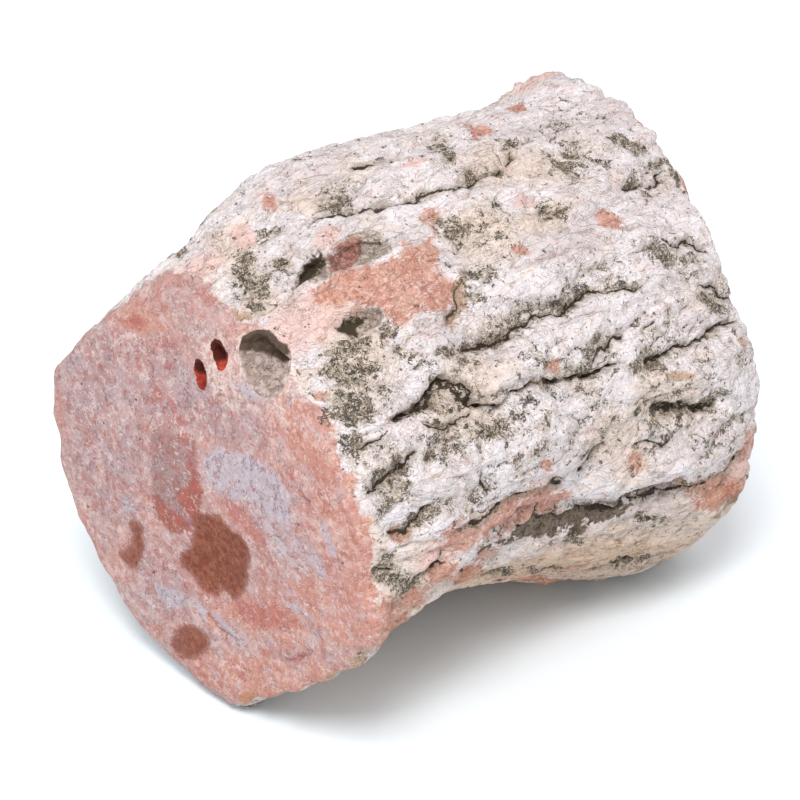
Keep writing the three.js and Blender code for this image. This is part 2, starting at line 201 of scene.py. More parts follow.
# Outlines on the bark, their corners (y, degrees).
BOSS = [
    (15.8, 13.7), (14, 18), (16.6, 22), (19, 26), (21.6, 28), (21.4, 34), (22.5, 37), (26, 35),
    (31.6, 38), (35.4, 33), (34.6, 29.4), (35.6, 27), (38.5, 23), (39.8, 20), (42, 18), (43, 14.5),
    (41.4, 14.5), (40, 17.6), (35.4, 20), (33.4, 17.6), (30.8, 21), (28, 21), (24, 14.5), (19, 14),
]
EYE = [
    (15.4, 8.5), (19, 5.5), (23, 7.6), (28.6, 7.6), (31.7, 9), (32.9, 11.5), (31.2, 16.8),
    (29.6, 20), (27.4, 19), (25.3, 15.8), (23, 13.7), (19.4, 14), (16.6, 13),
]
EYE_HOLE = [(15, 10), (17.5, 7.6), (20.2, 5.4), (22.8, 5.8), (23.6, 8.2), (21.6, 8.8), (18, 9.6)]
EYE_RED = [(22, 11.6), (24, 7), (27.6, 8), (30, 10), (29.6, 12), (26.4, 13), (22.6, 13)]
PIT = [(14.9, 25.6), (19, 25.8), (21.5, 27.7), (22, 30), (20.2, 33), (18.6, 31), (16, 31), (14.4, 28)]
PIT_HOLE = [(14.8, 26), (18.6, 25.6), (20.4, 27.4), (18.4, 29.6), (15, 29)]
FACET = [(29.6, 41), (32, 37.4), (36.8, 32.4), (37.3, 34.3), (36, 37), (33.6, 38.6), (30, 42.6)]

# Outlines on the near break, their corners (x, z).
BROWN = {
    "large": [
        (-3.8, -5.2), (-0.8, -4), (3, -3), (5.6, -4.2), (9.3, -4.6), (10.5, -7), (9.6, -12), (7.9, -16),
        (4.3, -20.5), (2.9, -19), (1.6, -18.8), (0.6, -21), (-2, -21.3), (-5.2, -19.6), (-8.6, -18.4),
        (-9.2, -16.5), (-6, -13.5), (-5, -10),
    ],
    "small": [
        (-12.6, -36), (-10.2, -32.4), (-7.2, -29.6), (-3.4, -28.8), (-1.2, -30.8), (-2, -34),
        (-5, -36.8), (-8.6, -38.4), (-11.8, -38.2),
    ],
    "left": [
        (-20.7, -12.8), (-17.2, -13.6), (-17.2, -17.8), (-18.5, -22.4), (-21.2, -25.3),
        (-24.6, -24.4), (-25.2, -23), (-21.3, -19.6), (-21.6, -16.3),
    ],
}
MAUVE = [
    (-13.9, 7.1), (-9.5, 9.1), (-4, 8.8), (-2.3, 5.9), (-1.3, 0.4), (-2.5, -5), (-5.1, -9.3),
    (-9.4, -12.2), (-13.2, -11.2), (-14.5, -6.1), (-14, -0.3),
]
RED_HEARTS = {
    "low": [
        (-14.3, -4.6), (-11, -7.2), (-7.2, -6.6), (-4.4, -8.6), (-9.4, -12.2), (-13.2, -11.2),
        (-14.4, -8.4),
    ],
    "right": [(-7.8, -1.6), (-5, -0.4), (-3.2, 4.5), (-1.3, 1.2), (-2.5, -5), (-5.7, -6.4), (-7.9, -4)],
}
WHITE = {
    "bright": [
        (-1.6, 7.8), (2.3, 10.5), (7.4, 11.3), (13, 12.5), (18, 12), (21.5, 9), (22, 4),
        (18, 2), (12.4, 3), (8.2, 2.4), (3.2, 1), (-0.6, 2.4),
    ],
    "faint": [
        (8.3, 4.5), (16.7, 7), (21.1, 5.8), (25.2, 1.3), (26.8, -2.6), (22, -5.5), (16.1, -4),
        (12.4, -1.1), (10, 2),
    ],
}

# Patches on the near break: (x, z, half length, half width, lean from +X towards +Z).
WHITE_SPOTS = [
    (20.4, -13.2, 2, 1.6, 0), (27, -2, 3, 1.4, -60), (9.6, 24, 5, 1.6, 0), (3.4, -26.5, 4.5, 1.2, -25),
    (-21, -11, 3, 1.4, 60), (-11, -26, 5, 2, 10), (30, 4, 4, 1.2, -70), (-4, -24.5, 2.6, 1.2, -60),
]
LAVENDER = [
    (-27, -6, 10, 11, 0), (-20, 14, 12, 8, 0), (1, 17, 9, 6, 0), (-25, 4, 10, 9, 0),
    (-13, -24, 7, 7, 0), (-34, 8, 6, 8, 0), (8, 18, 6, 4, 0), (-10, 16, 10, 6, 0),
]
FACE_SALMON = [
    (32, 17, 8, 3.6, 130), (35, 6, 9, 3.8, 100), (37, -5, 8, 4.4, 95), (23, 22, 8, 4.5, -20),
    (14, -19, 11, 5, 15), (28, -11, 7, 4, -30), (28, 15, 8, 4, -60), (30, -26, 10, 5, 30),
    (-18, 26, 7, 2.4, 10), (12, -33, 12, 4.5, 15), (-3, -36, 5, 4, -40),
]
FACE_RED = [
    (-20, 25, 3, 1.8, 20), (-24, 22, 2, 1.2, 0), (-11.8, 19.8, 1.8, 0.7, 15), (-6, 8.4, 2.4, 0.8, -10),
    (-3.2, 3.5, 5, 1.5, 105), (1.4, -27.4, 1.2, 0.6, 15), (13, -27, 3.4, 0.5, 25),
    (20.5, -24, 4.5, 0.6, 38), (12, -2, 5, 0.8, -62), (15, -4, 5, 0.7, -60), (-14, 14, 5, 0.7, -50),
    (-12, 24, 5, 1.2, 20), (22, 12, 6, 0.8, -42), (8, -5, 3, 1.6, -60), (-9, 12, 4, 0.8, -40),
    (-3.5, -6.5, 2, 2.6, 20), (12, -19, 9, 3, 20), (8, 0, 5, 2, -10),
]
FACE_OCHRE = [(11, -38.5, 6, 1.8, 15), (22, -34.5, 10, 1.4, 28)]
KNOT_RIM = [(13, 31, 9, 9, 0), (3, 25, 6, 7, 20)]

# Cracks in the near break: a path, its width and its depth.
FACE_CRACKS = {
    "white_crack": ([(-3.8, -23.8), (-2.6, -25.1), (0, -27.1), (2.5, -27.6), (5.9, -27.6)], 0.4, 0.9),
    "low_crack": ([(14.3, -27.1), (19.2, -25.2), (24, -21.2), (26, -19.2)], 0.3, 0.7),
    "side_crack": ([(22.1, 9.5), (24.6, 9.6), (26.9, 11.3)], 0.3, 0.7),
    "dash": ([(-8, -22.8), (-6.4, -24)], 0.5, 0.8),
    "dot": ([(6.8, 10.5), (7.8, 10)], 0.5, 0.8),
    "tick": ([(-13, 19.3), (-10.4, 20.1)], 0.3, 0.5),
    "high_line": ([(16, 17), (22, 12.1), (27, 8)], 0.2, 0.3),
    "knot_pit": ([(6.6, 31.2), (7.1, 32.4)], 0.7, 1.4),
}

# Sockets of the near break: centre (x, z), half sizes across, up and into the stone, turn, and the
# height over which their insides are painted dark as shade.
SOCKETS = {
    "knot_socket": (12.0, 28.9, 4.7, 4.4, 7.5, -10, 30.8),
    "knot_socket_top": (9.8, 31.0, 3.4, 3.7, 6.5, 0, 30.8),
    "red_slot_upper": (1.3, 27.5, 1.8, 2.7, 4.0, 14, 26.6),
    "red_slot_lower": (-3.5, 21.7, 1.6, 2.8, 3.8, 4, 22.3),
}
KNOT = ("knot_socket", "knot_socket_top")
RED_SLOTS = ("red_slot_upper", "red_slot_lower")

# Where the pink of the near break gives way to bark, along the log, round it in 30 degree steps.
PINK_EDGE = [5, 3.4, 1, 0.6, 0.8, 1, 1, 1, 1, 1.4, 3, 9]


# ---------------- measuring on the stone


def smoothstep(low, high, value):
    t = np.clip((value - low) / (high - low), 0, 1)
    return t * t * (3 - 2 * t)


def around(p):
    """Degrees round the log, from the top towards +X."""
    return np.degrees(np.arctan2(p[:, 0], p[:, 2]))


def arc(degrees, start):
    """An angle from a start as a length round the bark, the shorter way."""
    return np.radians((degrees - start + 180) % 360 - 180) * MEAN_RADIUS


def unroll(path):
    """A path on the bark as lengths along and round it, from the angle of its first place."""
    start = path[0][1]
    return [(y, math.radians(degrees - start) * MEAN_RADIUS) for y, degrees in path]


def fractal(p, size, octaves=3, stretch=1.0, seed=0):
    """Noise of about -1 to 1 with lumps of that size, drawn out along the log by stretch."""
    scaled = p / (size, size * stretch, size) + seed * 13.7
    return np.array([noise.fractal(q, 1.0, 2.0, octaves) for q in scaled.tolist()])


def creases(p, size, stretch=1.0, seed=0):
    """Narrow valleys of that spacing: 0 in a valley, 1 a little way out of it."""
    return np.clip(np.abs(fractal(p, size, 2, stretch, seed)) * 4, 0, 1)


def trace(u, v, path):
    """Distance to a path, the side of it (1 to its left), and a fade towards its ends."""
    best = np.full(len(u), np.inf)
    side = np.ones(len(u))
    along = np.zeros(len(u))
    total = sum(math.dist(a, b) for a, b in zip(path, path[1:]))
    done = 0.0
    for (u0, v0), (u1, v1) in zip(path, path[1:]):
        du, dv = u1 - u0, v1 - v0
        length = math.hypot(du, dv)
        f = np.clip(((u - u0) * du + (v - v0) * dv) / length**2, 0, 1)
        distance = np.hypot(u - u0 - f * du, v - v0 - f * dv)
        closer = distance < best
        best[closer] = distance[closer]
        side[closer] = np.where(du * (v - v0) > dv * (u - u0), 1, -1)[closer]
        along[closer] = (done + f * length)[closer]
        done += length
    fade = np.clip(np.minimum(along, total - along) / END_FADE, 0, 1)
    return best, side, fade


def patch(u, v, long, short, lean):
    """1 at the middle of an ellipse, 0.5 at its edge, and 0 half as far out again."""
    c, s = math.cos(math.radians(lean)), math.sin(math.radians(lean))
    reach = np.hypot((u * c + v * s) / long, (v * c - u * s) / short)
    return np.clip(1.5 - reach, 0, 1)


def outline(u, v, corners, soft):
    """1 well inside a closed outline, 0.5 on it, and 0 well outside it."""
    inside = np.zeros(len(u), bool)
    for (u0, v0), (u1, v1) in zip(corners, corners[1:] + corners[:1]):
        if v0 != v1:
            crosses = ((v0 > v) != (v1 > v)) & (u < (u1 - u0) * (v - v0) / (v1 - v0) + u0)
            inside ^= crosses
    distance = trace(u, v, corners + corners[:1])[0]
    return np.clip(0.5 + np.where(inside, 0.5, -0.5) * distance / soft, 0, 1)


def round_list(values, degrees):
    """A list of evenly spaced values round the log, read at any angle."""
    steps = (degrees % 360) / 360 * len(values)
    low = np.floor(steps).astype(int)
    table = np.array(values, float)
    f = steps - low
    return table[low % len(table)] * (1 - f) + table[(low + 1) % len(table)] * f


class Lie:
    """Where each vertex of a mesh lies on the log, and on which part of it."""

    def __init__(self, p, normals):
        self.p = p
        self.x, self.y, self.z = p.T
        self.degrees = around(p)
        sway = fractal(p, 6, 3, seed=1) + 0.45 * fractal(p, 1.9, 2, seed=2)
        swing = fractal(p, 5, 3, seed=3) + 0.45 * fractal(p, 1.7, 2, seed=4)
        self.wander = np.stack((sway, swing), 1)
        self.near = smoothstep(*FACES_ALONG, -normals[:, 1]) * smoothstep(*NEAR_END, self.y)
        self.far = smoothstep(*FACES_ALONG, normals[:, 1]) * smoothstep(*FAR_END, self.y)
        self.socket = self.in_sockets(SOCKETS)
        self.bark = (1 - self.near) * (1 - self.far) * (1 - self.socket)

    def in_sockets(self, names, dark_part=False):
        most = np.zeros(len(self.y))
        for x, z, across, up, deep, turn, level in [SOCKETS[name] for name in names]:
            c, s = math.cos(math.radians(turn)), math.sin(math.radians(turn))
            u, v = self.x - x, self.z - z
            height = self.z + 0.35 * self.y - 0.8 * np.maximum(u, 0) + 0.8 * self.wander[:, 0]
            reach = np.sqrt(((u * c + v * s) / across) ** 2 + ((v * c - u * s) / up) ** 2
                            + (self.y / deep) ** 2)
            inside = smoothstep(1.24, 1.04, reach)
            # The dark part of a socket is painted shade, over its upper and deeper inside.
            if dark_part:
                inside = inside * smoothstep(level - 0.8, level + 0.8, height)
            most = np.maximum(most, inside)
        return most

    def on_bark(self, start, rough):
        """Lengths along and round the bark from an angle, led astray by the wander."""
        return self.y + rough * self.wander[:, 0], arc(self.degrees, start) + rough * self.wander[:, 1]

    def on_break(self, rough):
        return self.x + rough * self.wander[:, 0], self.z + rough * self.wander[:, 1]

    def bark_trace(self, path, rough=1.0):
        return trace(*self.on_bark(path[0][1], rough), unroll(path))

    def break_trace(self, path):
        return trace(*self.on_break(0.4), path)

    def bark_outline(self, corners, soft=1.2, rough=0.5):
        return outline(*self.on_bark(corners[0][1], rough), unroll(corners), soft)

    def break_outlines(self, shapes, soft=1.2, rough=0.35):
        u, v = self.on_break(rough)
        return np.maximum.reduce([outline(u, v, corners, soft) for corners in shapes])

    def bark_patches(self, *lists, rough=1.0):
        total = np.zeros(len(self.y))
        for y, degrees, *shape in sum(lists, []):
            u, v = self.on_bark(degrees, rough)
            total = np.maximum(total, patch(u - y, v, *shape))
        return total

    def break_patches(self, places):
        u, v = self.on_break(0.6)
        return np.maximum.reduce([patch(u - x, v - z, *shape) for x, z, *shape in places])


# ---------------- meshes


def add_object(name, data):
    obj = bpy.data.objects.new(name, data)
    bpy.context.collection.objects.link(obj)
    return obj


def bake_modifiers(obj):
    graph = bpy.context.evaluated_depsgraph_get()
    done = bpy.data.meshes.new_from_object(
        obj.evaluated_get(graph), preserve_all_data_layers=True, depsgraph=graph
    )
    obj.modifiers.clear()
    obj.data = done


def get_points(mesh):
    """The vertices in millimetres from the log's axis at its near break."""
    flat = np.empty(len(mesh.vertices) * 3)
    mesh.vertices.foreach_get("co", flat)
    return flat.reshape(-1, 3) / MM - AXIS


def set_points(mesh, p):
    mesh.vertices.foreach_set("co", ((p + AXIS) * MM).ravel())
    mesh.update()


def get_normals(mesh):
    flat = np.empty(len(mesh.vertices) * 3)
    mesh.vertex_normals.foreach_get("vector", flat)
    return flat.reshape(-1, 3)


def get_edges(mesh):
    flat = np.empty(len(mesh.edges) * 2, dtype=np.int64)
    mesh.edges.foreach_get("vertices", flat)
    return flat.reshape(-1, 2)


def relax(points, edges, times, strength=0.5):
    """Draws points towards the mean of their neighbours on the mesh."""
    a, b = edges.T
    n = len(points)
    count = np.bincount(a, minlength=n) + np.bincount(b, minlength=n)
    columns = points.T.copy()
    for _ in range(times):
        for k, column in enumerate(columns):
            total = np.bincount(a, column[b], n) + np.bincount(b, column[a], n)
            columns[k] = column + strength * (total / count - column)
    return columns.T


def store(mesh, name, *channels):
    """Keeps one value a vertex, or four, under a name for the material."""
    kind, field = ("FLOAT", "value") if len(channels) == 1 else ("FLOAT_COLOR", "color")
    layer = mesh.attributes.new(name, kind, "POINT")
    layer.data.foreach_set(field, np.stack(channels, 1).astype(np.float32).ravel())


def dense_copy(node):
    stone = add_object("petrified_wood_stone", node.data.copy())
    remesh = stone.modifiers.new("voxels", "REMESH")
    remesh.mode = "VOXEL"
    remesh.voxel_size = VOXEL * MM
    bake_modifiers(stone)
    return stone


def soften(mesh):
    """Takes the solid's facets off, but keeps the rims of its sockets."""
    lie = Lie(get_points(mesh), get_normals(mesh))
    strength = 0.5 * (1 - 0.8 * lie.socket)
    times = round(SOFTENINGS * (FINE_VOXEL / VOXEL) ** 2)
    set_points(mesh, relax(lie.p, get_edges(mesh), times, strength))


def thin_out(stone):
    """Brings the mesh under its limit, and leaves the vertices where the relief needs them."""
    triangles = sum(len(face.vertices) - 2 for face in stone.data.polygons)
    if triangles > MOST_TRIANGLES:
        decimate = stone.modifiers.new("thin", "DECIMATE")
        decimate.ratio = MOST_TRIANGLES / triangles
        decimate.use_collapse_triangulate = True
        bake_modifiers(stone)


# ---------------- relief


def fold(lie):
    """How far the bark slides round the log to overhang its recesses, and its rise or fall there."""
    slide = np.zeros(len(lie.y))
    rise = np.zeros(len(lie.y))
    reach, recess_length, lip_length = 1.4, 2.4, 2.0
    for path, lip, recess in LEDGES.values():
        distance, side, fade = lie.bark_trace(path, 0.8)
        s = side * distance * math.copysign(1, recess)
        slide -= math.copysign(lip, recess) * fade * (s / reach) * np.exp(-((s / reach) ** 2))
        rise -= abs(recess) * fade * smoothstep(-0.5, 0.5, s) * np.exp(-np.maximum(s, 0) / recess_length)
        rise += 0.3 * lip * fade * smoothstep(0.3, -0.6, s) * np.exp(np.minimum(s, 0) / lip_length)
    return slide, rise


def cut(lie):
    """Depth of the cracks and holes in the bark."""
    depth = np.zeros(len(lie.y))
    for path, width, deep, _ in CRACKS.values():
        distance, _, fade = lie.bark_trace(path)
        depth = np.maximum(depth, deep * fade * np.exp(-((distance / width) ** 1.5)))
    depth += 0.3 * lie.bark_outline(EYE, 1.5) + 0.5 * lie.bark_outline(EYE_HOLE, 1.5)
    depth += 0.3 * lie.bark_outline(PIT) + 0.6 * lie.bark_outline(PIT_HOLE, 1.5)
    return depth


def bark_relief(lie):
    p = lie.p
    calm = 1 - 0.6 * lie.bark_outline(BOSS, 2.0)
    rise = 0.65 * fractal(p, 13, 3, stretch=2.2, seed=5)
    rise += 0.9 * calm * (creases(p, 8, stretch=2.6, seed=6) - 0.6)
    rise += 0.55 * calm * (creases(p, 3.6, stretch=1.8, seed=7) - 0.6)
    rise += 0.22 * fractal(p, 1.7, 2, stretch=1.4, seed=8)
    rise *= 0.35 + 0.65 * smoothstep(0, 7, lie.y)
    lichen = lie.bark_patches(LICHEN, rough=2.0)
    rise -= lichen * (0.2 + 0.5 * np.abs(fractal(p, 1.5, 2, seed=9)))
    return rise - cut(lie)


def break_relief(lie):
    p = lie.p
    rise = 0.4 * fractal(p, 10, 3, seed=10) + 0.16 * fractal(p, 2.2, 3, seed=11)
    for path, width, deep in FACE_CRACKS.values():
        distance, _, fade = lie.break_trace(path)
        rise -= lie.near * deep * fade * np.exp(-((distance / width) ** 2))
    rise -= lie.near * 0.25 * lie.break_outlines(BROWN.values())
    rise += lie.far * 0.9 * (creases(p, 11, seed=12) - 0.6)
    rise += lie.far * 0.7 * fractal(p, 4.5, 3, seed=13)
    return rise


def carve(mesh, lie):
    """Gives the dense mesh the relief that the solid is too coarse for."""
    slide, folded = fold(lie)
    lift = lie.bark * (bark_relief(lie) + folded)
    lift += np.maximum(lie.near, lie.far) * (1 - lie.socket) * break_relief(lie)
    lift += lie.socket * 0.5 * fractal(lie.p, 1.4, 3, seed=14)
    angle = np.radians(lie.degrees)
    tangent = np.stack((np.cos(angle), np.zeros(len(angle)), -np.sin(angle)), 1)
    p = lie.p + get_normals(mesh) * lift[:, None] + tangent * (lie.bark * slide)[:, None]
    p[:, 2] = np.maximum(p[:, 2], -AXIS[2])
    set_points(mesh, p)


def note_hollows(mesh):
    """Keeps how far each vertex lies under its surroundings, where dirt gathers and where shade is
    painted.
    """
    p, edges, normals = get_points(mesh), get_edges(mesh), get_normals(mesh)
    fine = relax(p, edges, 5)
    broad = relax(fine, edges, 30)
    pits = np.sum((fine - p) * normals, 1)
    dips = np.sum((broad - p) * normals, 1)
    store(mesh, "hollow", 3.0 * pits + 0.8 * dips)


# ---------------- where each colour lies


def hidden_places(count, longest, seed):
    """Patches for the sides that the lists leave out: the back and the underside."""
    draw = random.Random(seed)
    places = []
    for _ in range(count):
        long = draw.uniform(0.35, 1.0) * longest
        y, degrees = draw.uniform(*HIDDEN_ALONG), draw.uniform(*HIDDEN_DEGREES)
        short, lean = long * draw.uniform(0.3, 0.7), draw.uniform(-45, 45)
        places.append((y, degrees, long, short, lean))
    return places


def crack_lines(lie):
    """The nearest crack: its signed distance in its own widths, and how dark it is."""
    nearest = np.full(len(lie.y), np.inf)
    signed = np.full(len(lie.y), 4.0)
    dark = np.zeros(len(lie.y))
    paths = [(path, width, shade, 0.0) for path, width, _, shade in CRACKS.values()]
    # The painted shadow in the gap under a ledge is full dark, and lies a little below the lip.
    paths += [(path, 0.9, 1.0, 0.6 * recess) for path, _, recess in LEDGES.values()]
    for path, width, shade, below in paths:
        distance, side, fade = lie.bark_trace(path)
        closer = distance < nearest
        nearest[closer] = distance[closer]
        signed[closer] = np.clip((side * distance - below) / width, -4, 4)[closer]
        dark[closer] = (shade * fade * smoothstep(2.6, 1.4, distance))[closer]
    return signed, dark


def mark_bark(mesh, lie):
    """Where the bark has lichen, dirt and painted shade in cracks and recesses, stains, hollows and its
    belly's painted shade.
    """
    bark = lie.bark
    signed, dark = crack_lines(lie)
    lichen = lie.bark_patches(LICHEN, hidden_places(60, 8, 5), rough=2.0)
    faint = 0.55 * lie.bark_patches(FAINT_LICHEN, hidden_places(30, 12, 6), rough=2.0)
    grown = np.maximum(np.maximum(lichen, faint), 0.45 * dark)
    boss = lie.bark_outline(BOSS)
    salmon = np.maximum(lie.bark_patches(SALMON, hidden_places(26, 5, 7)), 0.9 * boss)
    blush = lie.bark_patches(PINK_BLUSH, hidden_places(16, 9, 8))
    ochre = np.maximum(lie.bark_patches(OCHRE, hidden_places(10, 7, 9)), lie.bark_outline(FACET))
    cream = lie.bark_patches(CREAM, hidden_places(18, 14, 10))
    # Channels: lichen; crack darkness, painted shade with dirt; the recess, painted shade with dirt; the
    # boss.
    store(mesh, "growth", grown * bark, dark * bark, lie.bark_patches(RECESS) * bark, boss)
    store(mesh, "crack_side", signed)
    store(mesh, "stains", salmon, blush, ochre, cream)
    holes = np.maximum(lie.bark_outline(EYE_HOLE), lie.bark_outline(PIT_HOLE))
    rooms = np.maximum(lie.bark_outline(EYE), lie.bark_outline(PIT))
    store(mesh, "holes", holes, rooms, lie.bark_outline(EYE_RED), lie.in_sockets(RED_SLOTS))
    # The belly is darkened and tinted tan: painted shade of the underside.
    belly = smoothstep(100, 120, lie.degrees) * smoothstep(4, 12, lie.y)
    store(mesh, "belly", belly)


def mark_breaks(mesh, lie):
    """The near break as it is, and the far one with the same patches, turned half round."""
    edge = round_list(PINK_EDGE, lie.degrees)
    pink = smoothstep(1.5, -1.5, lie.y - edge + 1.3 * lie.wander[:, 0])
    pink = np.maximum(pink, lie.near * smoothstep(9, 4, lie.y))
    far = smoothstep(0.35, 0.8, lie.far)
    there = Lie(lie.p * FAR_TURN + FAR_SHIFT, get_normals(mesh))
    both = [(lie, pink), (there, far)]

    def outlined(shapes):
        return sum(at.break_outlines(shapes) * mask for at, mask in both)

    def patched(places):
        return sum(at.break_patches(places) * mask for at, mask in both)

    # The fourth channel is each socket's upper, deeper inside, painted dark as shade.
    store(mesh, "form", pink, far, lie.in_sockets(KNOT), lie.in_sockets(SOCKETS, dark_part=True))
    store(mesh, "knot_rim", lie.break_patches(KNOT_RIM) * pink)
    brown = np.maximum(outlined([BROWN["large"]]), 0.8 * outlined([BROWN["small"], BROWN["left"]]))
    store(mesh, "deep", brown, outlined(RED_HEARTS.values()), outlined([MAUVE]), patched(FACE_RED))
    white = np.maximum(outlined([WHITE["bright"]]), 0.6 * outlined([WHITE["faint"]]))
    store(mesh, "pale", np.maximum(white, patched(WHITE_SPOTS)), patched(LAVENDER),
          patched(FACE_SALMON), patched(FACE_OCHRE))


# ---------------- the stone's material


def rgb(red, green, blue):
    """A colour given as 0 to 255 on a screen, as the shader's linear values."""
    def linear(c):
        c /= 255
        return c / 12.92 if c <= 0.04045 else ((c + 0.055) / 1.055) ** 2.4
    return (linear(red), linear(green), linear(blue), 1.0)


# Colours of the bark.
BARK_WHITE = rgb(228, 221, 224)
BARK_GREY = rgb(210, 200, 201)
BARK_WARM = rgb(226, 208, 196)
BARK_ROSY = rgb(226, 199, 196)
BARK_DULL = rgb(196, 182, 174)
BARK_CHALK = rgb(238, 232, 234)
BARK_CREAM = rgb(218, 197, 182)
BARK_BLUSH = rgb(222, 184, 176)
BARK_OCHRE = rgb(178, 138, 104)
SALMON_DEEP = rgb(178, 111, 88)
SALMON_PALE = rgb(200, 145, 124)
SALMON_CHALK = rgb(218, 186, 174)
STRATA_BROWN = rgb(140, 114, 88)
LICHEN_GREY = rgb(146, 132, 114)
LICHEN_PALE = rgb(210, 198, 184)
LICHEN_OLIVE = rgb(106, 92, 74)
INK_DARK = rgb(42, 35, 27)
INK_BROWN = rgb(94, 80, 62)
PEPPER = rgb(104, 92, 84)
# Recess colours: painted shade under the ledges, with dirt.
RECESS_DARK = rgb(56, 46, 36)
RECESS_PALE = rgb(116, 98, 78)
CRACK_RIM = rgb(134, 120, 100)
# Crack and hollow colours: painted shade, with dirt.
CRACK_SHADE_AND_DIRT = rgb(46, 37, 28)
HOLLOW_SHADE_AND_DIRT = rgb(78, 64, 52)

# Colours of the breaks.
BREAK_PINK = rgb(190, 145, 136)
BREAK_DULL = rgb(182, 153, 150)
BREAK_LAVENDER = rgb(168, 144, 147)
BREAK_SALMON = rgb(195, 139, 122)
MOTTLE_DEEP = rgb(178, 124, 116)
MOTTLE_PALE = rgb(212, 180, 175)
BREAK_ROSE = rgb(180, 124, 114)
BREAK_COOL = rgb(186, 166, 170)
FLECK_PALE = rgb(218, 196, 191)
FLECK_DEEP = rgb(170, 126, 122)
RIM_PINK = rgb(204, 166, 156)
RIM_PALE = rgb(222, 202, 196)
BREAK_WHITE = rgb(180, 173, 183)
BREAK_MAUVE = rgb(144, 114, 113)
HEART_RED = rgb(166, 92, 76)
STREAK_RED = rgb(168, 88, 80)
BREAK_OCHRE = rgb(186, 134, 96)
VEIN_COOL = rgb(112, 86, 92)
VEIN_RED = rgb(148, 82, 72)
THREAD_WHITE = rgb(226, 210, 208)
BROWN_DEEP = rgb(118, 61, 47)
BROWN_PALE = rgb(143, 86, 67)
BROWN_FLECK = rgb(172, 122, 102)
BREAK_SPECK = rgb(84, 54, 56)

# Colours of the sockets and of the hollows in the bark.
ROOM_GREY = rgb(128, 112, 98)
ROOM_PALE = rgb(192, 178, 166)
RUST_DEEP = rgb(112, 62, 54)
RUST_PALE = rgb(178, 118, 106)
# Painted shade inside the two holes in the bark.
HOLE_PAINTED_SHADE = rgb(70, 60, 46)
KNOT_GREY = rgb(150, 130, 122)
KNOT_PALE = rgb(198, 180, 174)
KNOT_SCRATCH = rgb(98, 84, 72)
# Painted shade in the upper inside of the knot's socket.
KNOT_PAINTED_SHADE = rgb(74, 57, 42)
SLOT_RED = rgb(128, 38, 26)
SLOT_BRIGHT = rgb(184, 74, 54)
# Painted shade in the upper inside of the red slots.
SLOT_PAINTED_SHADE = rgb(62, 20, 12)

# What darkens a colour is multiplied with it.
WRINKLE_SHADE = (0.55, 0.47, 0.42, 1)
HOLLOW_SHADE = (0.66, 0.58, 0.5, 1)
BELLY_SHADE = (0.87, 0.77, 0.65, 1)
GRIT_SHADE = (0.88, 0.86, 0.84, 1)


